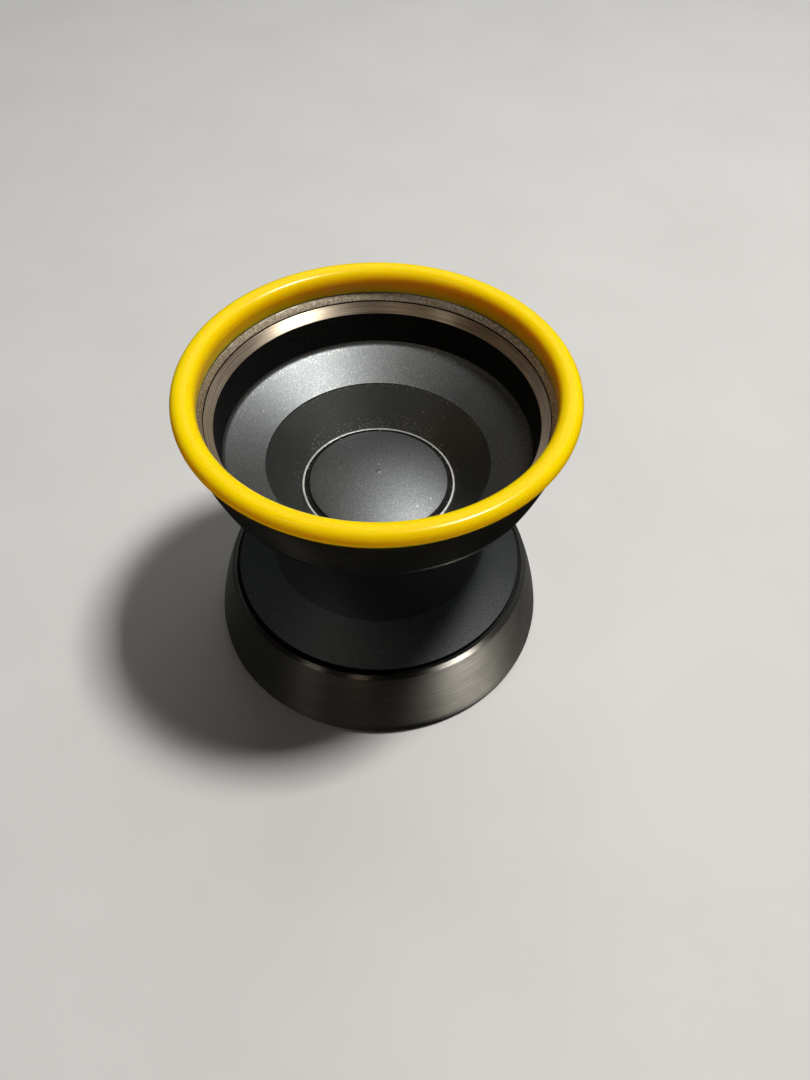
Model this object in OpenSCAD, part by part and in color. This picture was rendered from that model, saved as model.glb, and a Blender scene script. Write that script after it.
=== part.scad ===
// A ball-bearing yo-yo with weighted rims, standing on the rim of its lower half.
// Millimetres, +Z along the axle, origin on the floor under the axle.
// Each half is described by its radius r and its height h above the middle plane,
// and is then turned about the axle. The lower half is the same profile, turned over.

/* [Overall] */
// Distance from the middle plane to the end of either rim
half_width = 25.25; // [25.1:0.05:25.4]
// Space between the two halves at the string
gap_width = 4.4; // [4.0:0.1:4.6]

/* [Body] */
// Radius where the outer cone changes its finish and its slope
crease_r = 17.3; // [16:0.1:18.5]
// Height of that crease above the middle plane
crease_h = 8.2; // [7.8:0.1:8.5]
// Radius of the fine ridge around the hub
ridge_r = 11.6; // [11.3:0.1:12.5]
// Height of the ridge's foot above the middle plane
ridge_h = 4.6; // [4.3:0.1:5]
// Height of the domed hub's crown above the middle plane
crown_h = 6.9; // [6.6:0.1:8]
// Radius of the domed hub's edge
dome_r = 10.6; // [10:0.1:10.8]
// Radius of the black wall at the foot of the cup
wall_foot_r = 22.6; // [22:0.1:23]
// Height of the cup's floor where it meets that wall
wall_foot_h = 13.4; // [13:0.1:14]

/* [Steel rings] */
// Radius on which each steel ring is pressed over its body
seat_r = 24.0; // [23.8:0.1:24.2]
// Height at which each steel ring starts
ring_start_h = 13.0; // [12.8:0.1:13.2]
// Outer radius of the ring's polished top edge
lip_r = 24.75; // [24.5:0.05:25]
// Radius of the flared side at the rim
flare_r = 27.5; // [27.2:0.1:27.8]
// How far the flared side bulges past a straight cone
flare_bulge = 0.35; // [0:0.05:0.5]

/* [Rim ring] */
// Outer radius of the yellow ring
cap_r = 28.3; // [28.2:0.05:28.4]
// Radius of the yellow ring's crown, which is level with the end of the rim
cap_crown_r = 26.95; // [26.7:0.05:27.2]
// Radius of the yellow ring where it is narrowest inside
cap_waist_r = 24.93; // [24.88:0.01:25]
// Height of that narrowest place above the middle plane
cap_waist_h = 23.2; // [22.8:0.1:23.6]
// Height of the yellow ring's widest place above the middle plane
cap_belly_h = 23.7; // [23.5:0.1:24]

/* [Response pads] */
// Inner radius of the silicone pads
pad_inner_r = 7.0; // [7:0.05:7.2]
// Outer radius of the silicone pads
pad_outer_r = 9.5; // [9:0.1:9.8]
// Thickness of the silicone pads
pad_t = 1.2; // [0.8:0.1:1.4]

/* [Axle] */
// Length of the threaded axle
axle_length = 10; // [8:0.5:10]
// Radius of the axle over its thread
axle_r = 1.95; // [1.9:0.01:1.97]
// Width across the flats of the hexagon socket in each end
socket_width = 2.0; // [1.5:0.1:2.2]

/* [Bearing] */
// Bore radius of the inner race, size C
bearing_bore_r = 3.175; // [3.175]
// Outside radius of the outer race, size C
bearing_outer_r = 6.35; // [6.35]
// Width of the bearing, size C
bearing_width = 4.7625; // [4.7625]
// Number of balls
ball_count = 8; // [6:1:10]
// Radius of each ball
ball_r = 0.794; // [0.75:0.002:0.8]

/* [Hidden] */

$fn = 96;
arc_steps = 6;              // straight pieces in each rounded corner

// Colours
black_anodised = [0.10, 0.11, 0.11];
steel = [0.66, 0.63, 0.58];
yellow = [0.96, 0.77, 0.02];
silicone = [0.86, 0.86, 0.82];
bearing_steel = [0.75, 0.76, 0.77];
cage_colour = [0.55, 0.48, 0.33];

// Heights above the middle plane
gap_h = gap_width / 2;
bearing_h = bearing_width / 2;
axial_play = 0.01;          // free space each side of the inner race
seat_h = bearing_h + axial_play;

edge_chamfer = 0.2;         // small broken edges

// Bearing seat in each half
post_clearance = 0.02;      // radial running clearance on the inner race
post_r = bearing_bore_r - post_clearance;
post_end_h = 0.6;           // the two posts stay 1.2 mm apart
recess_clearance = 0.15;    // the outer race spins free of the halves
recess_r = bearing_outer_r + recess_clearance;
recess_h = seat_h + 0.45;
hole_start_h = post_end_h - 1;
shoulder_r = 4.0;           // the inner race's face rests on this step

// Threaded holes
thread_clearance = 0.05;    // running clearance of the half that unscrews
hole_end_h = axle_length / 2 + 0.6;

// Cup
foot_round = 1.0;           // fillet between the cup's floor and its wall
tone_step = 0.25;           // fine step where the floor changes its finish
tone_r = 16.85;
tone_h = 9.9;
tone_run = 0.1;
groove_depth = 0.5;         // groove between the dome and the ridge
groove_r = ridge_r - 0.3;
groove_inner_r = dome_r + 0.1;
ridge_half = 0.15;
ridge_rise = 0.15;
dome_edge_h = 5.1;
dome_steps = 10;

// Flange that carries the steel ring
wall_end_r = 23.2;
wall_end_h = 18.7;
cone_end_h = ring_start_h - 0.1;
line_gap_r = 0.65;          // width of the black line beside the steel ring
line_gap_h = 0.9;           // depth of that line
gap_corner_r = 10.8;        // where the cone meets the flat face of the gap
gap_round = 1.6;

// Yellow ring
cap_steps = 12;
waist_power = 2.5;          // 2 is an ellipse, and more is squarer
belly_power = 2.2;
cap_roll = 0.6;             // radius that turns the widest place under
cap_roll_angle = 75;
seam_gap = 0.16;            // mouth of the fine open line between the yellow ring and the steel

// Steel ring
lip_h = ring_start_h + 0.35; // the bevelled edge runs from the bore to the flared side
flare_steps = 10;
flare_end_h = 24.0;
band_r = 24.32;             // where the lower band inside the rim ends in a fine groove
band_h = 20.18;
band_foot = [23.42, 19.08]; // steeper edge at the foot of that band
groove_width = 0.2;
seam_r = 25.1;              // where the upper band meets the yellow ring
seam_h = 21.2;
outer_seam_r = 27.15;
outer_seam_h = 21.9;
tongue_r = 25.9;            // tongue of the yellow ring, held in a groove of the steel
tongue_half = 0.45;
tongue_end_h = 20.4;
tongue_step = 0.25;
tongue = [[outer_seam_r, outer_seam_h],
          [tongue_r + tongue_half, outer_seam_h - tongue_step], [tongue_r + tongue_half, tongue_end_h],
          [tongue_r - tongue_half, tongue_end_h], [tongue_r - tongue_half, seam_h + tongue_step]];
rim_wall_r = 26.1;          // inside of the lower rim's thin outer wall
rim_wall_foot_h = seam_h + 0.5;
rest_start_h = flare_end_h - 0.6;
rest_outer_r = 27.4;        // the lower half stands on the flat end of that wall
rest_round = 0.8;

// Bearing
pitch_r = (bearing_bore_r + bearing_outer_r) / 2;
raceway_r = ball_r + 0.025; // running clearance round each ball
inner_land_r = 4.15;
outer_land_r = 5.35;
shield_seat_r = 5.75;
shield_seat_h = 1.6;
shield_t = 0.2;
shield_inner_r = inner_land_r + 0.12;
snap_wire = 0.3;
snap_groove_r = shield_seat_r + 0.12;
snap_play = 0.02;           // free space between each snap ring and its groove
snap_gap_angle = 24;
lower_snap_turn = 130;      // where the lower snap ring's opening points
cage_inner_r = 4.4;
cage_outer_r = 5.12;
cage_back_h = -1.35;
cage_front_h = 0.4;
pocket_r = ball_r + 0.05;

// Pads and axle
pad_sink = 0.05;            // each pad lies this far below the face round it
axle_chamfer = 0.3;
socket_depth = 2;
cut_past = 0.001;           // how far a cut runs past the face it opens

// ---- Helpers ---------------------------------------------------------------

function unit(v) = v / norm(v);

// Points of an arc of radius rad that rounds corner b between a and c
function rounded(a, b, c, rad) =
    let (u = unit(a - b), w = unit(c - b),
         half_angle = acos(u * w) / 2,
         centre = b + unit(u + w) * rad / sin(half_angle),
         start = b + u * rad / tan(half_angle) - centre,
         finish = b + w * rad / tan(half_angle) - centre)
    [for (i = [0 : arc_steps])
        let (t = i / arc_steps, mix = start * (1 - t) + finish * t)
        centre + unit(mix) * rad];

// A point t of the way along the steel ring's flared side
function flare(t) =
    [lip_r + (flare_r - lip_r) * t + flare_bulge * 4 * t * (1 - t),
     lip_h + (flare_end_h - lip_h) * t];

// How far along the flared side a height lies
function flare_t(h) = (h - lip_h) / (flare_end_h - lip_h);

// Height of the domed hub at radius r
function dome(r) = crown_h - (crown_h - dome_edge_h) * pow(r / dome_r, 2);

// The upper half's frame: the middle plane at half_width above the floor
module upper_side() { translate([0, 0, half_width]) children(); }

// The lower half's frame: the same profile, turned over
module lower_side() { translate([0, 0, half_width]) rotate([180, 0, 0]) children(); }

module turned(profile) { rotate_extrude() polygon(profile); }

// ---- One half --------------------------------------------------------------

module half_body(hole_r) {
    cone_slope = (crease_h - gap_h) / (crease_r - gap_corner_r);
    outer_slope = (cone_end_h - crease_h) / (seat_r - crease_r);
    line_r = seat_r - line_gap_r;
    line_h = crease_h + outer_slope * (line_r - crease_r);
    color(black_anodised)
    difference() {
        turned(concat(
            [[0, post_end_h], [post_r - edge_chamfer, post_end_h], [post_r, post_end_h + edge_chamfer],
             [post_r, seat_h], [shoulder_r, seat_h], [shoulder_r, recess_h],
             [recess_r, recess_h], [recess_r, gap_h]],
            [[pad_inner_r, gap_h], [pad_inner_r, gap_h + pad_t],
             [pad_outer_r, gap_h + pad_t], [pad_outer_r, gap_h]],
            rounded([pad_outer_r, gap_h], [gap_corner_r, gap_h],
                    [crease_r, gap_h + cone_slope * (crease_r - gap_corner_r)], gap_round),
            [[crease_r, crease_h], [line_r, line_h], [line_r, line_h + line_gap_h],
             [seat_r, line_h + line_gap_h], [seat_r, wall_end_h], [wall_end_r, wall_end_h]],
            rounded([wall_end_r, wall_end_h], [wall_foot_r, wall_foot_h], [tone_r, tone_h], foot_round),
            [[tone_r, tone_h], [tone_r - tone_run, tone_h - tone_step],
             [ridge_r + ridge_half, ridge_h], [ridge_r + ridge_half, ridge_h + ridge_rise],
             [ridge_r - ridge_half, ridge_h + ridge_rise], [groove_r, dome_edge_h - groove_depth],
             [groove_inner_r, dome_edge_h - groove_depth]],
            [for (i = [dome_steps : -1 : 0]) let (r = dome_r * i / dome_steps) [r, dome(r)]]
        ));
        translate([0, 0, hole_start_h]) cylinder(r = hole_r, h = hole_end_h - hole_start_h);
    }
}

// The steel ring's profile from its inner shelf, down its bore and up its flared side
function ring_side(top_h) = concat(
    [[wall_end_r, wall_end_h], [seat_r, wall_end_h], [seat_r, ring_start_h]],
    [for (i = [0 : flare_steps]) flare(i / flare_steps * flare_t(top_h))]
);

// The two bands on the inside of the steel ring, with a square groove between them
band_end = [band_r, band_h];
band_along = unit(band_end - band_foot) * groove_width;
band_into = [band_along.y, -band_along.x];
inner_bands = [[seam_r, seam_h], band_end + band_along, band_end + band_along + band_into,
               band_end + band_into, band_end, band_foot];

module upper_half_ring() {
    color(steel)
    turned(concat(ring_side(outer_seam_h), tongue, inner_bands));
}

module lower_half_ring() {
    rest = half_width;
    color(steel)
    turned(concat(
        ring_side(rest_start_h),
        rounded(flare(flare_t(rest_start_h)), [rest_outer_r, rest], [rim_wall_r, rest], rest_round),
        [[rim_wall_r + edge_chamfer, rest], [rim_wall_r, rest - edge_chamfer],
         [rim_wall_r, rim_wall_foot_h]],
        inner_bands));
}

module response_pad() {
    color(silicone)
    turned([[pad_inner_r, gap_h + pad_sink], [pad_outer_r, gap_h + pad_sink],
            [pad_outer_r, gap_h + pad_t], [pad_inner_r, gap_h + pad_t]]);
}

// ---- Pieces of the two halves ----------------------------------------------

module lower_body() { lower_side() half_body(axle_r); }
module upper_body() { upper_side() half_body(axle_r + thread_clearance); }

module lower_steel_ring() { lower_side() lower_half_ring(); }
module upper_steel_ring() { upper_side() upper_half_ring(); }

module lower_response_pad() { lower_side() response_pad(); }
module upper_response_pad() { upper_side() response_pad(); }

// A quarter of a superellipse, from the end of reach.x round to the end of reach.y
function quarter(centre, reach, power) =
    [for (i = [0 : cap_steps])
        let (a = 90 * i / cap_steps)
        centre + [reach.x * pow(cos(a), 2 / power), reach.y * pow(sin(a), 2 / power)]];

// The smooth yellow ring, with the tongue that is pressed into the steel
module upper_rim_ring() {
    waist = quarter([cap_crown_r, cap_waist_h],
                    [cap_waist_r - cap_crown_r, half_width - cap_waist_h], waist_power);
    belly = quarter([cap_crown_r, cap_belly_h],
                    [cap_r - cap_crown_r, half_width - cap_belly_h], belly_power);
    roll = [for (i = [1 : arc_steps])
        let (a = -cap_roll_angle * i / arc_steps)
        [cap_r - cap_roll + cap_roll * cos(a), cap_belly_h + cap_roll * sin(a)]];
    color(yellow)
    upper_side()
    turned(concat(waist, [for (i = [cap_steps - 1 : -1 : 0]) belly[i]], roll, tongue,
                  [[seam_r, seam_h + seam_gap]]));
}

module axle() {
    color(bearing_steel)
    upper_side()
    difference() {
        turned([[0, -axle_length / 2], [axle_r - axle_chamfer, -axle_length / 2],
                [axle_r, -axle_length / 2 + axle_chamfer], [axle_r, axle_length / 2 - axle_chamfer],
                [axle_r - axle_chamfer, axle_length / 2], [0, axle_length / 2]]);
        for (side = [-1, 1])
            translate([0, 0, side * (axle_length / 2 - socket_depth / 2)])
                cylinder(d = socket_width / cos(30), h = socket_depth + cut_past, center = true, $fn = 6);
    }
}

// ---- Bearing ---------------------------------------------------------------

module raceway() { rotate_extrude() translate([pitch_r, 0]) circle(r = raceway_r); }

module bearing_inner_race() {
    color(bearing_steel)
    upper_side()
    difference() {
        turned([[bearing_bore_r, -bearing_h], [inner_land_r - edge_chamfer, -bearing_h],
                [inner_land_r, -bearing_h + edge_chamfer], [inner_land_r, bearing_h - edge_chamfer],
                [inner_land_r - edge_chamfer, bearing_h], [bearing_bore_r, bearing_h]]);
        raceway();
    }
}

module bearing_outer_race() {
    snap_h = shield_seat_h + shield_t;
    // One end of the inside: land, shield seat, snap ring groove and mouth
    function inside(side) = [
        [outer_land_r, side * shield_seat_h], [shield_seat_r, side * shield_seat_h],
        [shield_seat_r, side * snap_h], [snap_groove_r, side * snap_h],
        [snap_groove_r, side * (snap_h + snap_wire)], [shield_seat_r, side * (snap_h + snap_wire)],
        [shield_seat_r, side * bearing_h]];
    upper_inside = inside(1);
    lower_inside = inside(-1);
    color(bearing_steel)
    upper_side()
    difference() {
        turned(concat(
            [for (i = [len(lower_inside) - 1 : -1 : 0]) lower_inside[i]],
            upper_inside,
            [[bearing_outer_r - edge_chamfer, bearing_h], [bearing_outer_r, bearing_h - edge_chamfer],
             [bearing_outer_r, -bearing_h + edge_chamfer], [bearing_outer_r - edge_chamfer, -bearing_h]]));
        raceway();
    }
}

module bearing_balls() {
    color(bearing_steel)
    upper_side()
    for (i = [0 : ball_count - 1])
        rotate([0, 0, i * 360 / ball_count]) translate([pitch_r, 0, 0]) sphere(r = ball_r);
}

module bearing_cage() {
    color(cage_colour)
    upper_side()
    difference() {
        turned([[cage_inner_r, cage_back_h], [cage_outer_r, cage_back_h],
                [cage_outer_r, cage_front_h], [cage_inner_r, cage_front_h]]);
        for (i = [0 : ball_count - 1])
            rotate([0, 0, i * 360 / ball_count]) translate([pitch_r, 0, 0]) sphere(r = pocket_r);
    }
}

module shield() {
    color(bearing_steel)
    turned([[shield_inner_r, shield_seat_h], [shield_seat_r, shield_seat_h],
            [shield_seat_r, shield_seat_h + shield_t], [shield_inner_r, shield_seat_h + shield_t]]);
}

// The open wire ring that holds a shield: it bears on the shield, clear of its groove
module snap_ring() {
    color(bearing_steel)
    rotate([0, 0, snap_gap_angle / 2])
    rotate_extrude(angle = 360 - snap_gap_angle)
        translate([snap_groove_r - snap_wire, shield_seat_h + shield_t])
            square([snap_wire - snap_play, snap_wire - snap_play]);
}

module bearing_lower_shield() { lower_side() shield(); }
module bearing_upper_shield() { upper_side() shield(); }
module bearing_lower_snap_ring() { lower_side() rotate([0, 0, lower_snap_turn]) snap_ring(); }
module bearing_upper_snap_ring() { upper_side() snap_ring(); }

// ---- Drawing ---------------------------------------------------------------

lower_body();
lower_steel_ring();
lower_response_pad();
axle();
bearing_inner_race();
bearing_balls();
bearing_cage();
bearing_outer_race();
bearing_lower_shield();
bearing_upper_shield();
bearing_lower_snap_ring();
bearing_upper_snap_ring();
upper_body();
upper_steel_ring();
upper_rim_ring();
upper_response_pad();
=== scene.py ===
"""Looks of a ball-bearing yo-yo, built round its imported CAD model.

Metres throughout. The axle lies along Z and the yo-yo stands on its lower rim at z = 0. The turned pieces
are lathed again from the CAD's own sections, with eased edges and the marks of turning.
"""
import math

import bmesh
import bpy
from mathutils import Matrix, Vector


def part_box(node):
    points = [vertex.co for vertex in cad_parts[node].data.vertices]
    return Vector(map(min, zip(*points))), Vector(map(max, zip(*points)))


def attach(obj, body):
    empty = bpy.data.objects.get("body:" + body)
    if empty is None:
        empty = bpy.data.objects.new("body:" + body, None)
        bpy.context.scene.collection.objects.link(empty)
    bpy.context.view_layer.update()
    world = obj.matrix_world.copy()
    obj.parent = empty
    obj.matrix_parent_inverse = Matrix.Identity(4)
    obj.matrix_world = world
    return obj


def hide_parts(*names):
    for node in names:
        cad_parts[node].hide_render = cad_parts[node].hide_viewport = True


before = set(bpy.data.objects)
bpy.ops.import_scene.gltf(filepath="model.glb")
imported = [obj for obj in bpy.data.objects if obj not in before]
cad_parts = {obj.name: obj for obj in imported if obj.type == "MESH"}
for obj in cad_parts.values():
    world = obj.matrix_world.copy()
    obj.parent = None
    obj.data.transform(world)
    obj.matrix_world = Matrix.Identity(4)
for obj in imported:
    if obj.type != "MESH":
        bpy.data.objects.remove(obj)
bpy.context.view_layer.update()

MM = 0.001
MIDDLE = (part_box("bearing_outer_race")[0].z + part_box("bearing_outer_race")[1].z) / 2

# ---- Places on a half: radii from the axle, and heights and depths along it ---------------

NIB_R = 0.45 * MM          # the small nib in the middle of the hub
NIB_H = 0.08 * MM
DOME_R = 10.65 * MM        # edge of the hub's dome, where its groove starts
RIDGE_R = 11.6 * MM        # the fine ridge round the hub
RIDGE_HALF = 0.17 * MM
TONE_R = 16.8 * MM         # the cup's floor is blasted outside this
WALL_R = 22.3 * MM         # the cup's wall
CREASE_R = 17.3 * MM       # the outer cone is blasted outside this
# The line beside the steel ring is near-black with painted shade.
LINE_R = 23.33 * MM        # the dark line beside the steel ring
LINE_END_H = 13.8 * MM
LIP_R = 24.02 * MM         # the steel ring's bevel starts outside this
LIP_DEEP = 0.36 * MM
SHINE_R = 24.5 * MM        # the upper ring's lowest edge is handled to a shine
SHINE_DEEP = 1.2 * MM
BAND_R = 24.35 * MM        # where the lower band inside the rim ends and the upper one starts
BANDS_END_R = 25.15 * MM
BAND_FOOT = Vector((23.42 * MM, 19.08 * MM))
BAND_ALONG = Vector((0.90, 1.10)).normalized()
GROOVE = (24.28 * MM, 24.62 * MM)      # the groove between the bands
GROOVE_DEEP = 0.3 * MM
HAIR = 0.03 * MM

# ---- Camera ------------------------------------------------------------------------------

CAMERA_AT = Vector((4.3, -95.0, 131.8)) * MM
CAMERA_DOWN = math.radians(50.7)       # how far it looks below the horizon
CAMERA_ROLL = math.radians(1.45)
LENS_MM = 30
SENSOR_MM = 36


def make_camera():
    data = bpy.data.cameras.new("camera")
    data.lens = LENS_MM
    data.sensor_width = SENSOR_MM
    data.clip_start = 0.005
    data.clip_end = 20
    camera = bpy.data.objects.new("camera", data)
    bpy.context.scene.collection.objects.link(camera)
    look = Matrix.Rotation(math.pi / 2 - CAMERA_DOWN, 4, "X") @ Matrix.Rotation(CAMERA_ROLL, 4, "Z")
    camera.matrix_world = Matrix.Translation(CAMERA_AT) @ look
    bpy.context.scene.camera = camera


# ---- Sections and turning ----------------------------------------------------------------

CUT_ANGLE = 0.001          # the section is cut just beside the CAD's own seam
SAME_POINT = 1e-7
STRAIGHT_TOLERANCE = 3e-6
ON_AXLE = 1e-6             # a point with a smaller radius than this is on the axle
CORNER = math.radians(24)  # a sharper bend than this is an edge, and is eased
MUCH_LONGER = 2.5          # a stretch this many times its neighbour is straight, and sets the tangent
CORNER_STEPS = 4
CORNER_SHARE = 0.35        # the most of a stretch that one eased corner takes
TURN_STEPS = 192


def section(node):
    """The outline of a turned CAD node as (radius, height) points, and whether it closes on itself."""
    bm = bmesh.new()
    bm.from_mesh(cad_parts[node].data)
    bmesh.ops.remove_doubles(bm, verts=bm.verts, dist=SAME_POINT)
    normal = Vector((-math.sin(CUT_ANGLE), math.cos(CUT_ANGLE), 0))
    cut = bmesh.ops.bisect_plane(bm, geom=bm.verts[:] + bm.edges[:] + bm.faces[:], plane_co=(0, 0, 0),
                                 plane_no=normal, dist=1e-9)
    links = {}
    place = {}
    for edge in cut["geom_cut"]:
        if not isinstance(edge, bmesh.types.BMEdge):
            continue
        ends = []
        for vert in edge.verts:
            key = (round(vert.co.x / SAME_POINT), round(vert.co.z / SAME_POINT))
            place[key] = Vector((vert.co.xy.length, vert.co.z))
            ends.append(key)
        if min(ends[0][0], ends[1][0]) < -1 or ends[0] == ends[1]:
            continue
        links.setdefault(ends[0], set()).add(ends[1])
        links.setdefault(ends[1], set()).add(ends[0])
    bm.free()
    loose = sorted(k for k, n in links.items() if len(n) == 1)
    closed = not loose
    at = loose[0] if loose else min(links)
    chain = [at]
    seen = {at}
    while True:
        onward = [k for k in sorted(links[at]) if k not in seen]
        if not onward:
            break
        at = onward[0]
        seen.add(at)
        chain.append(at)
    return simplified([place[k] for k in chain], closed), closed


def simplified(points, closed):
    """The same outline without the points that lie on straight stretches."""
    changed = True
    while changed:
        changed = False
        kept = []
        count = len(points)
        for i, p in enumerate(points):
            if not closed and i in (0, count - 1):
                kept.append(p)
                continue
            a = kept[-1] if kept else points[i - 1]
            b = points[(i + 1) % count]
            run = b - a
            off = abs(run.x * (p.y - a.y) - run.y * (p.x - a.x)) / max(run.length, 1e-12)
            if off < STRAIGHT_TOLERANCE and (p - a).dot(b - p) > -1e-14:
                changed = True
            else:
                kept.append(p)
        points = kept
    return points


def bend(a, b, c):
    """How far the outline turns at b, in radians."""
    return (b - a).angle(c - b, 0.0)


def eased(points, closed, fillet):
    """The outline with each sharp corner rounded, and each gentle bend made smoother."""
    count = len(points)
    ends = [] if closed else [0, count - 1]
    corner = [i not in ends and bend(points[i - 1], points[i], points[(i + 1) % count]) > CORNER
              for i in range(count)]

    def tangent(i):
        before = points[i] - points[i - 1]
        after = points[(i + 1) % count] - points[i]
        if before.length > MUCH_LONGER * after.length:
            return before.normalized()
        if after.length > MUCH_LONGER * before.length:
            return after.normalized()
        return (before.normalized() + after.normalized()).normalized()

    out = []
    for i, p in enumerate(points):
        if corner[i]:
            out.extend(rounded_corner(points[i - 1], p, points[(i + 1) % count], fillet))
        else:
            out.append(p)
        j = (i + 1) % count
        if j in ends or i in ends or corner[i] or corner[j] or (not closed and j == 0):
            continue
        length = (points[j] - p).length
        out.append((p + points[j]) / 2 + (tangent(i) - tangent(j)) * length / 8)
    return out


def rounded_corner(a, b, c, fillet):
    """Points of a small arc in place of corner b."""
    back = (a - b).normalized()
    onward = (c - b).normalized()
    half = back.angle(onward) / 2
    reach = min(fillet / math.tan(half), CORNER_SHARE * (a - b).length, CORNER_SHARE * (c - b).length)
    radius = reach * math.tan(half)
    centre = b + (back + onward).normalized() * radius / math.sin(half)
    start = b + back * reach - centre
    finish = b + onward * reach - centre
    across = [start.lerp(finish, k / CORNER_STEPS) for k in range(CORNER_STEPS + 1)]
    return [centre + spoke.normalized() * radius for spoke in across]


def lathe(name, outline, closed):
    """A mesh turned about Z from an outline of (radius, height) points."""
    verts = []
    rings = []
    for p in outline:
        if p.x < ON_AXLE:
            rings.append([len(verts)])
            verts.append((0, 0, p.y))
            continue
        rings.append(list(range(len(verts), len(verts) + TURN_STEPS)))
        for k in range(TURN_STEPS):
            angle = 2 * math.pi * k / TURN_STEPS
            verts.append((p.x * math.cos(angle), p.x * math.sin(angle), p.y))
    faces = []
    pairs = list(zip(rings, rings[1:] + rings[:1])) if closed else list(zip(rings, rings[1:]))
    for low, high in pairs:
        for k in range(TURN_STEPS):
            n = (k + 1) % TURN_STEPS
            if len(low) == 1 and len(high) == 1:
                break
            if len(low) == 1:
                faces.append((low[0], high[n], high[k]))
            elif len(high) == 1:
                faces.append((low[k], low[n], high[0]))
            else:
                faces.append((low[k], low[n], high[n], high[k]))
    return new_piece(name, verts, faces)


def new_piece(name, verts, faces):
    """An object of that mesh: faces outwards, and smooth shading that keeps flat faces flat."""
    mesh = bpy.data.meshes.new(name)
    mesh.from_pydata(verts, [], faces)
    piece = bpy.data.objects.new(name, mesh)
    bpy.context.scene.collection.objects.link(piece)
    bm = bmesh.new()
    bm.from_mesh(piece.data)
    bmesh.ops.recalc_face_normals(bm, faces=bm.faces)
    bm.to_mesh(piece.data)
    bm.free()
    piece.data.shade_smooth()
    weighted = piece.modifiers.new("weighted_normals", "WEIGHTED_NORMAL")
    weighted.weight = 100
    return piece


# ---- Materials ---------------------------------------------------------------------------

class Shader:
    """A material's node tree, with short names for the nodes that these finishes use."""

    def __init__(self, name, **settings):
        self.material = bpy.data.materials.new(name)
        self.material.use_nodes = True
        self.tree = self.material.node_tree
        self.tree.nodes.clear()
        self.out = self.node("ShaderNodeOutputMaterial")
        self.bsdf = self.node("ShaderNodeBsdfPrincipled")
        self.link(self.bsdf.outputs[0], self.out.inputs[0])
        for key, value in settings.items():
            self.bsdf.inputs[key.replace("_", " ")].default_value = value

    def node(self, kind, **settings):
        made = self.tree.nodes.new(kind)
        for key, value in settings.items():
            setattr(made, key, value)
        return made

    def link(self, source, target):
        self.tree.links.new(source, target)

    def math(self, operation, a, b=0.0, clamp=False):
        made = self.node("ShaderNodeMath", operation=operation, use_clamp=clamp)
        for socket, value in zip(made.inputs, (a, b)):
            if isinstance(value, (int, float)):
                socket.default_value = value
            else:
                self.link(value, socket)
        return made.outputs[0]

    def place(self):
        """The point on the piece, in metres."""
        return self.node("ShaderNodeTexCoord").outputs["Object"]

    def noise(self, scale, detail=3.0, roughness=0.55, vector=None, w=None):
        made = self.node("ShaderNodeTexNoise", noise_dimensions="3D" if w is None else "4D")
        made.inputs["Scale"].default_value = scale
        made.inputs["Detail"].default_value = detail
        made.inputs["Roughness"].default_value = roughness
        self.link(vector or self.place(), made.inputs["Vector"])
        if w is not None:
            self.link(w, made.inputs["W"])
        return made.outputs["Fac"]

    def ramp(self, value, *stops):
        """Maps a number to colours or greys, between stops of (position, colour or grey)."""
        made = self.node("ShaderNodeValToRGB")
        elements = made.color_ramp.elements
        while len(elements) < len(stops):
            elements.new(0.5)
        for element, (position, colour) in zip(elements, stops):
            element.position = position
            if isinstance(colour, (int, float)):
                colour = (colour, colour, colour)
            element.color = (*colour, 1)
        self.link(value, made.inputs[0])
        return made.outputs["Color"]

    def mix(self, factor, a, b):
        """From a, an output, to the colour b."""
        made = self.node("ShaderNodeMix", data_type="RGBA")
        self.link(factor, made.inputs[0])
        self.link(a, made.inputs[6])
        made.inputs[7].default_value = (*b, 1)
        return made.outputs[2]

    def axes(self):
        """The three parts of the point on the piece."""
        split = self.node("ShaderNodeSeparateXYZ")
        self.link(self.place(), split.inputs[0])
        return split.outputs

    def radius(self):
        """Distance from the axle."""
        x, y, _ = self.axes()
        return self.math("SQRT", self.math("ADD", self.math("MULTIPLY", x, x), self.math("MULTIPLY", y, y)))

    def turning(self, lines_per_mm, wander=2.0):
        """Noise drawn out into fine lines round the axle, as a lathe leaves them."""
        x, y, z = self.axes()
        radius = self.radius()
        across = self.node("ShaderNodeCombineXYZ")
        self.link(self.math("MULTIPLY", radius, lines_per_mm / MM), across.inputs[0])
        for socket, part in ((across.inputs[1], x), (across.inputs[2], y)):
            self.link(self.math("MULTIPLY", self.math("DIVIDE", part, radius), wander), socket)
        along = self.math("MULTIPLY", z, lines_per_mm / MM)
        return self.noise(1.0, 4.0, 0.6, across.outputs[0], along)

    def upward(self):
        """How far the surface faces up, from -1 to 1."""
        split = self.node("ShaderNodeSeparateXYZ")
        self.link(self.node("ShaderNodeNewGeometry").outputs["Normal"], split.inputs[0])
        return split.outputs[2]

    def bump(self, height, depth):
        """Raises the surface by up to depth metres."""
        made = self.node("ShaderNodeBump")
        made.inputs["Strength"].default_value = 1.0
        made.inputs["Distance"].default_value = depth
        self.link(height, made.inputs["Height"])
        self.link(made.outputs[0], self.bsdf.inputs["Normal"])

    def colour(self, output):
        self.link(output, self.bsdf.inputs["Base Color"])

    def roughness(self, least, more, noise):
        """Roughness from least, with up to more where the noise is high."""
        varied = self.math("MULTIPLY", noise, more)
        self.link(self.math("ADD", varied, least), self.bsdf.inputs["Roughness"])


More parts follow.
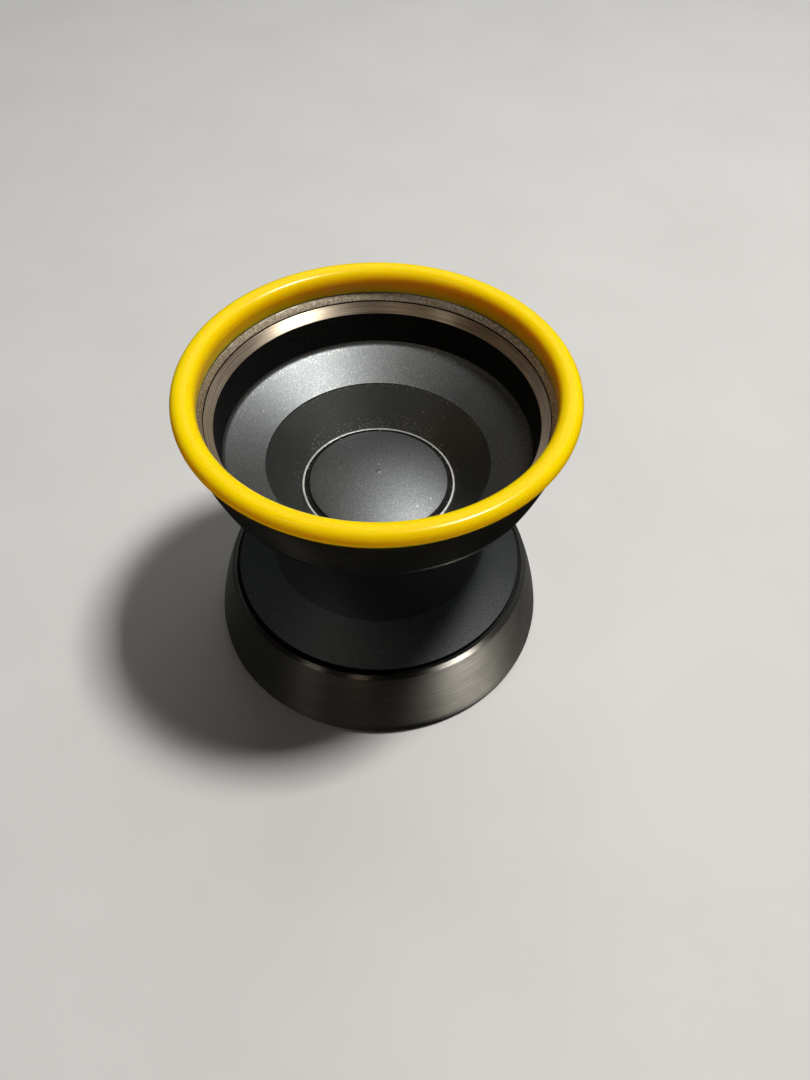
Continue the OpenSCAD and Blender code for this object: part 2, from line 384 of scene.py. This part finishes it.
def specks(shader, per_metre, size, share):
    """A mask of tiny specks: 1 on a speck and 0 off it. A share of the cells hold one."""
    cells = shader.node("ShaderNodeTexVoronoi")
    cells.inputs["Scale"].default_value = per_metre
    shader.link(shader.place(), cells.inputs["Vector"])
    near = shader.math("LESS_THAN", cells.outputs["Distance"], size)
    split = shader.node("ShaderNodeSeparateColor")
    shader.link(cells.outputs["Color"], split.inputs[0])
    chosen = shader.math("LESS_THAN", split.outputs[0], share)
    return shader.math("MULTIPLY", near, chosen)


LINT = (0.80, 0.79, 0.75)
DUST_SLOPE = 0.4           # lint stays on faces that face up at least this much
DUST_LINES = ((RIDGE_R + 0.6 * MM, 1.3 * MM), (TONE_R, 0.5 * MM), (WALL_R - 0.2 * MM, 0.8 * MM))


def dust(shader):
    """Lint in the upper cup: a few stray specks, and a fine sprinkle near the lines where it collects."""
    in_upper = shader.math("GREATER_THAN", shader.axes()[2], MIDDLE)
    in_cup = shader.math("MULTIPLY", shader.math("GREATER_THAN", shader.upward(), DUST_SLOPE), in_upper)
    near_edge = 0.0
    for edge, reach in DUST_LINES:
        off = shader.math("ABSOLUTE", shader.math("SUBTRACT", shader.radius(), edge))
        near = shader.math("SUBTRACT", 1.0, shader.math("DIVIDE", off, reach), clamp=True)
        near_edge = shader.math("MAXIMUM", near, near_edge)
    patchy = shader.ramp(shader.noise(110, 2), (0.42, 0.0), (0.56, 1.0))
    patches = shader.math("MULTIPLY", patchy, near_edge)
    sprinkle = specks(shader, 4200, 0.20, shader.math("MULTIPLY", patches, 0.6))
    stray = specks(shader, 1500, 0.11, 0.02)
    return shader.math("MULTIPLY", shader.math("MAXIMUM", sprinkle, stray), in_cup)


def anodised_black():
    """Bead-blasted aluminium, dyed black: a satin sheen with a fine sparkle."""
    s = Shader("anodised_black", Metallic=1.0)
    grain = s.noise(4300, 3, 0.75)
    base = s.ramp(grain, (0.32, (0.108, 0.116, 0.118)), (0.58, (0.168, 0.177, 0.177)),
                  (0.72, (0.28, 0.29, 0.285)))
    s.colour(s.mix(dust(s), base, LINT))
    in_floor = s.math("MULTIPLY", s.math("GREATER_THAN", s.radius(), RIDGE_R), -0.07)
    s.roughness(s.math("ADD", in_floor, 0.50), 0.08, s.noise(160, 3))
    s.bump(grain, 0.007 * MM)
    return s.material


def smooth_black():
    """The same dyed aluminium where it was turned and not blasted."""
    s = Shader("smooth_black", Metallic=1.0)
    grain = s.noise(3600, 3, 0.7)
    base = s.ramp(grain, (0.3, (0.080, 0.085, 0.083)), (0.7, (0.120, 0.125, 0.122)))
    s.colour(s.mix(dust(s), base, LINT))
    s.roughness(0.41, 0.06, s.noise(160, 3))
    s.bump(s.turning(6), 0.003 * MM)
    return s.material


def painted_shade_black():
    """Near-black with little sheen: painted shade in the narrow grooves, in the line beside the steel ring
    and on the cup's wall.
    """
    s = Shader("painted_shade_black", Metallic=0.1, Specular_IOR_Level=0.1)
    base = s.ramp(s.noise(1500, 2), (0.3, 0.004), (0.7, 0.010))
    s.colour(s.mix(dust(s), base, LINT))
    s.roughness(0.55, 0.1, s.noise(900, 2))
    return s.material


def bare_edge():
    """The hub's fine ridge, where a last cut leaves bright bare metal."""
    s = Shader("bare_edge", Metallic=1.0)
    s.colour(s.ramp(s.noise(900, 4), (0.3, (0.50, 0.50, 0.48)), (0.7, (0.74, 0.74, 0.71))))
    s.roughness(0.33, 0.15, s.noise(1600, 3))
    return s.material


def brushed(name, lines, tones, roughness):
    """Steel with the fine lines of the lathe, which draw each highlight out across them."""
    s = Shader(name, Metallic=1.0, Anisotropic=1.0, Anisotropic_Rotation=0.25)
    mark = s.turning(*lines)
    s.colour(s.ramp(mark, *tones))
    s.roughness(roughness, 0.14, s.noise(240, 4, 0.65))
    s.bump(mark, 0.004 * MM)
    tangent = s.node("ShaderNodeTangent", direction_type="RADIAL", axis="Z")
    s.link(tangent.outputs[0], s.bsdf.inputs["Tangent"])
    return s.material


def turned_steel():
    """The outside of the steel rings. Its tone is darker than bare steel: painted shade for the dim room
    that it reflects.
    """
    tones = (0.28, (0.19, 0.181, 0.155)), (0.5, (0.27, 0.257, 0.225)), (0.72, (0.37, 0.353, 0.31))
    return brushed("turned_steel", (9, 2.5), tones, 0.37)


def band_steel():
    """The lower band inside the rim, which is coarser. Its warm bronze tone is a painted reflection of the
    yellow rim and the dim room.
    """
    tones = (0.28, (0.40, 0.315, 0.22)), (0.5, (0.68, 0.565, 0.425)), (0.72, (0.96, 0.86, 0.70))
    return brushed("band_steel", (7, 3.0), tones, 0.38)


def satin_steel():
    """The upper band inside the rim: blasted steel that glitters. Its warm tone is a painted reflection of
    the yellow rim.
    """
    s = Shader("satin_steel", Metallic=1.0)
    grain = s.noise(2600, 3, 0.75)
    s.colour(s.ramp(grain, (0.36, (0.50, 0.40, 0.27)), (0.54, (0.82, 0.69, 0.51)),
                    (0.62, (1.0, 0.94, 0.80))))
    s.roughness(0.30, 0.24, s.noise(1700, 3))
    s.bump(grain, 0.030 * MM)
    return s.material


def bevel_steel():
    """The fine-cut bevel on the steel ring's edge."""
    tones = (0.28, (0.09, 0.085, 0.072)), (0.5, (0.13, 0.123, 0.107)), (0.72, (0.18, 0.171, 0.15))
    return brushed("bevel_steel", (6, 2.0), tones, 0.24)


def shiny_steel():
    """The lowest edge of the upper ring, which handling has polished."""
    s = Shader("shiny_steel", Metallic=1.0)
    smudge = s.noise(300, 4)
    s.colour(s.ramp(smudge, (0.3, (0.52, 0.50, 0.44)), (0.7, (0.66, 0.635, 0.57))))
    s.roughness(0.08, 0.10, smudge)
    return s.material


def yellow_gloss():
    """Smooth moulded plastic in a saturated yellow, with painted shade: a deeper orange on faces that point
    sideways or down, and lemon on faces that point up.
    """
    s = Shader("yellow_gloss", Specular_IOR_Level=0.24, Subsurface_Weight=0.85, Subsurface_Scale=3.2 * MM)
    s.bsdf.inputs["Subsurface Radius"].default_value = (1.0, 0.45, 0.03)
    # Painted shade: the colour runs from orange to lemon as the face turns upward.
    up = s.math("ADD", s.upward(), s.math("MULTIPLY", s.noise(70, 3), 0.1))
    s.colour(s.ramp(up, (0.10, (1.0, 0.56, 0.0)), (0.75, (1.0, 0.63, 0.0))))
    s.roughness(0.19, 0.08, s.noise(900, 3))
    s.bump(s.noise(420, 2), 0.003 * MM)
    return s.material


def silicone():
    s = Shader("silicone", Subsurface_Weight=0.15, Subsurface_Scale=0.5 * MM)
    s.colour(s.ramp(s.noise(600, 4), (0.3, (0.66, 0.66, 0.62)), (0.7, (0.76, 0.76, 0.72))))
    s.roughness(0.55, 0.15, s.noise(3000, 2))
    s.bump(s.noise(4500, 3), 0.01 * MM)
    return s.material


def bearing_steel():
    s = Shader("bearing_steel", Metallic=1.0)
    lines = s.turning(18, 1.0)
    s.colour(s.ramp(lines, (0.2, (0.66, 0.66, 0.67)), (0.8, (0.76, 0.76, 0.77))))
    s.roughness(0.10, 0.10, lines)
    s.bump(lines, 0.0015 * MM)
    return s.material


def cage_metal():
    s = Shader("cage_metal", Metallic=1.0)
    s.colour(s.ramp(s.noise(2400, 3), (0.3, (0.50, 0.37, 0.17)), (0.7, (0.62, 0.48, 0.25))))
    s.roughness(0.28, 0.15, s.noise(1500, 2))
    return s.material


def thread_steel():
    s = Shader("thread_steel", Metallic=1.0)
    s.colour(s.ramp(s.noise(1800, 3), (0.3, (0.36, 0.35, 0.34)), (0.7, (0.50, 0.49, 0.47))))
    s.roughness(0.25, 0.15, s.noise(2500, 2))
    return s.material


def floor_paint():
    s = Shader("floor_paint")
    s.colour(s.ramp(s.noise(30, 3), (0.3, (0.60, 0.595, 0.58)), (0.7, (0.63, 0.625, 0.61))))
    s.roughness(0.65, 0.1, s.noise(400, 2))
    return s.material


# ---- Pieces ------------------------------------------------------------------------------

def stand_for(piece, node, body, slot, *materials):
    """The piece replaces a CAD node, rides on its body and takes these materials."""
    for material in materials:
        piece.data.materials.append(material)
    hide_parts(node)
    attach(piece, body)
    return piece


def turned_piece(node, fillet, body, slot, *materials):
    """A CAD piece turned again from its own section, with its edges eased."""
    outline, closed = section(node)
    piece = lathe(node + "_turned", eased(outline, closed, fillet), closed)
    return stand_for(piece, node, body, slot, *materials)


# The last slot of a half is the near-black of painted shade.
BLASTED, SMOOTH, BARE, PAINTED_SHADE = range(4)                     # material slots of a half
TURNED, LOWER_BAND, UPPER_BAND, BEVEL, GAP, SHINY = range(6)     # material slots of a steel ring
OUTWARDS = 0.02            # a half's face that points away from the string gap leans at least this much
BAND_LEAN = 0.2            # and a band's face inside the rim, this much
NIB_STEPS = 8
NIB_CLEAR = 1 * MM         # the nib takes the place of the hub's own points within this of its top


def body_zone(r, h, outwards):
    """The material slot of a half's face, from its radius, its height and how far it points outwards."""
    if outwards <= OUTWARDS and r <= WALL_R:
        return SMOOTH if r < CREASE_R else BLASTED
    if abs(r - RIDGE_R) < RIDGE_HALF:
        return BARE
    in_dome_groove = DOME_R < r < RIDGE_R
    in_line = r > LINE_R and h < LINE_END_H
    on_wall = r > WALL_R and h > LINE_END_H
    # The hub's groove, the line beside the steel ring and the cup's wall take painted shade.
    if in_dome_groove or in_line or on_wall:
        return PAINTED_SHADE
    return SMOOTH if RIDGE_R < r < TONE_R else BLASTED


def half_body(side, body, finishes):
    """One black half, with the small nib that turning leaves in the middle of the hub."""
    node = side + "_body"
    up = 1 if side == "upper" else -1
    outline, closed = section(node)
    outline = eased(outline, closed, 0.06 * MM)
    crown = max(outline, key=lambda p: (p.x < ON_AXLE, p.y * up))
    crown_last = outline[0] != crown
    if crown_last:
        outline.reverse()
    nib = []
    for k in range(NIB_STEPS + 1):
        rise = 0.5 + 0.5 * math.cos(math.pi * k / NIB_STEPS)
        nib.append(Vector((NIB_R * k / NIB_STEPS, crown.y + up * NIB_H * rise)))
    rest = [p for p in outline[1:] if p.x > NIB_R or abs(p.y - crown.y) > NIB_CLEAR]
    outline = nib + rest
    if crown_last:
        outline.reverse()
    piece = lathe(node + "_turned", outline, closed)
    stand_for(piece, node, body, "black_anodised", *finishes)
    for face in piece.data.polygons:
        height = (face.center.z - MIDDLE) * up
        face.material_index = body_zone(face.center.xy.length, height, face.normal.z * up)
    return piece


def below_band(r, h):
    """How far a point of the half lies under the face of the lower inner band, past a hair's breadth."""
    off = Vector((r, h)) - BAND_FOOT
    return off.x * BAND_ALONG.y - off.y * BAND_ALONG.x - HAIR


def ring_zone(r, h, outwards, lip, handled):
    """The material slot of a steel ring's face. lip is how far it is from the ring's edge at the gap."""
    if lip < LIP_DEEP and r > LIP_R:
        return BEVEL
    if handled and lip < SHINE_DEEP and r > SHINE_R:
        return SHINY
    # The groove between the bands takes painted shade.
    if GROOVE[0] < r < GROOVE[1] and 0 < below_band(r, h) < GROOVE_DEEP:
        return GAP
    if outwards > BAND_LEAN and r < BANDS_END_R:
        return LOWER_BAND if r < BAND_R else UPPER_BAND
    return TURNED


def steel_ring(side, body, finishes):
    """One weight ring: turned outside, two bands inside, and a polished bevel beside the black body."""
    node = side + "_steel_ring"
    piece = turned_piece(node, 0.05 * MM, body, "turned_steel", *finishes)
    up = 1 if side == "upper" else -1
    low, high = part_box(node)
    cut_z = low.z if up == 1 else high.z
    for face in piece.data.polygons:
        height = (face.center.z - MIDDLE) * up
        lip = abs(face.center.z - cut_z)
        zone = ring_zone(face.center.xy.length, height, face.normal.z * up, lip, side == "upper")
        face.material_index = zone
    return piece


THREAD_PITCH = 0.7 * MM
THREAD_DEPTH = 0.38 * MM
THREAD_STEPS = 96          # points round the thread
THREAD_ROWS = 14           # rows of points in each pitch
FLANK_SLOPE = 3.2          # how fast the thread rises, in thread depths per turn
ROOT_FLAT = 0.3            # how far the flanks' meeting point lies under the root, in thread depths
SOCKET_FLAT = 1.0 * MM     # half the hexagon's width across its flats
SOCKET_DEPTH = 2.0 * MM
AXLE_CHAMFER = 0.45 * MM


def threaded_axle(body, metal):
    """The headless screw: a real helical thread, chamfered ends and a hexagon socket in each end."""
    low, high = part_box("axle")
    crest = high.x
    rows = int((high.z - low.z) / (THREAD_PITCH / THREAD_ROWS))
    verts = []

    def hexagon(angle):
        sixth = math.pi / 3
        return SOCKET_FLAT / math.cos((angle % sixth) - sixth / 2)

    def flank(angle, z):
        turn = (z / THREAD_PITCH - angle / (2 * math.pi)) % 1.0
        height = min(1.0, max(0.0, FLANK_SLOPE * abs(turn - 0.5) - ROOT_FLAT))
        end = min(z - low.z, high.z - z)
        return min(crest - THREAD_DEPTH * (1 - height), crest - max(0.0, AXLE_CHAMFER - end))

    def ring(radius_at, z):
        start = len(verts)
        for k in range(THREAD_STEPS):
            angle = 2 * math.pi * k / THREAD_STEPS
            r = radius_at(angle)
            verts.append((r * math.cos(angle), r * math.sin(angle), z))
        return list(range(start, start + THREAD_STEPS))

    rings = [ring(hexagon, low.z + SOCKET_DEPTH), ring(hexagon, low.z)]
    for j in range(rows + 1):
        z = low.z + (high.z - low.z) * j / rows
        rings.append(ring(lambda angle: flank(angle, z), z))
    rings += [ring(hexagon, high.z), ring(hexagon, high.z - SOCKET_DEPTH)]
    around = [(k, (k + 1) % THREAD_STEPS) for k in range(THREAD_STEPS)]
    faces = []
    for a, b in zip(rings, rings[1:]):
        faces += [(a[k], a[n], b[n], b[k]) for k, n in around]
    for end, depth_z in ((rings[0], low.z + SOCKET_DEPTH), (rings[-1], high.z - SOCKET_DEPTH)):
        verts.append((0, 0, depth_z))
        faces += [(end[k], end[n], len(verts) - 1) for k, n in around]
    piece = new_piece("axle_threaded", verts, faces)
    piece.data.set_sharp_from_angle(angle=math.radians(40))
    return stand_for(piece, "axle", body, "axle_steel", metal)


def dress(node, material):
    """A CAD node that keeps its shape and gets a finish."""
    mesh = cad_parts[node].data
    mesh.materials.clear()
    mesh.materials.append(material)


# ---- Stage -------------------------------------------------------------------------------

def make_floor():
    bpy.ops.mesh.primitive_plane_add(size=6)
    floor = bpy.context.object
    floor.name = "floor"
    floor.data.materials.append(floor_paint())
    floor.visible_glossy = False       # the steel reflects the dim room, as it does over dark cloth


def soft_light(name, toward, distance, size, watts, colour):
    """A soft box at that direction from the yo-yo, aimed at it."""
    aim = Vector((0, 0, MIDDLE))
    data = bpy.data.lights.new(name, "AREA")
    data.shape = "RECTANGLE"
    data.size, data.size_y = size
    data.energy = watts
    data.color = colour
    lamp = bpy.data.objects.new(name, data)
    lamp.location = aim + Vector(toward).normalized() * distance
    lamp.rotation_euler = (aim - lamp.location).to_track_quat("-Z", "Y").to_euler()
    bpy.context.scene.collection.objects.link(lamp)


# The glow of the room, by the sine of the height above the horizon.
ROOM = ((0.0, 0.005), (0.10, 0.08), (0.40, 0.08), (0.70, 0.012))


def make_lights():
    soft_light("key", (0.34, 0.085, 0.935), 0.7, (0.11, 0.11), 4.9, (1, 0.985, 0.955))
    soft_light("overhead", (0.15, 0.6, 0.8), 1.0, (0.8, 0.6), 1.5, (0.96, 0.98, 1))
    soft_light("left_strip", (-0.44, -0.30, 0.85), 0.7, (0.02, 0.15), 0.12, (1, 0.95, 0.88))
    soft_light("front_strip", (-0.12, -0.30, 0.94), 0.7, (0.02, 0.15), 0.08, (1, 0.80, 0.68))
    world = bpy.data.worlds.new("studio")
    world.use_nodes = True
    nodes, links = world.node_tree.nodes, world.node_tree.links
    direction = nodes.new("ShaderNodeTexCoord")
    split = nodes.new("ShaderNodeSeparateXYZ")
    room = nodes.new("ShaderNodeValToRGB")
    room.color_ramp.elements.remove(room.color_ramp.elements[1])
    for k, (rise, glow) in enumerate(ROOM):
        stop = room.color_ramp.elements[0] if k == 0 else room.color_ramp.elements.new(rise)
        stop.position = rise
        stop.color = (0.95 * glow, 0.97 * glow, glow, 1)
    links.new(direction.outputs["Generated"], split.inputs[0])
    links.new(split.outputs[2], room.inputs[0])
    links.new(room.outputs[0], nodes["Background"].inputs[0])
    bpy.context.scene.world = world
    bpy.context.scene.view_settings.view_transform = "Standard"


# ---- The yo-yo ---------------------------------------------------------------------------

make_camera()
black_finishes = (anodised_black(), smooth_black(), bare_edge(), painted_shade_black())
# The ring's groove takes the near-black of painted shade.
steel_finishes = (turned_steel(), band_steel(), satin_steel(), bevel_steel(), black_finishes[PAINTED_SHADE],
                  shiny_steel())
ground = bearing_steel()
brass = cage_metal()
rubber = silicone()

for side in ("lower", "upper"):
    half = side + "_half"
    half_body(side, half, black_finishes)
    steel_ring(side, half, steel_finishes)
    turned_piece(side + "_response_pad", 0.12 * MM, half, "silicone", rubber)
    turned_piece(f"bearing_{side}_shield", 0.03 * MM, "bearing_outer", "bearing_steel", ground)
    dress(f"bearing_{side}_snap_ring", ground)

turned_piece("upper_rim_ring", 0.15 * MM, "upper_half", "yellow_plastic", yellow_gloss())
turned_piece("bearing_outer_race", 0.06 * MM, "bearing_outer", "bearing_steel", ground)
turned_piece("bearing_inner_race", 0.06 * MM, "bearing_inner", "bearing_steel", ground)
dress("bearing_balls", ground)
dress("bearing_cage", brass)
threaded_axle("lower_half", thread_steel())

make_floor()
make_lights()
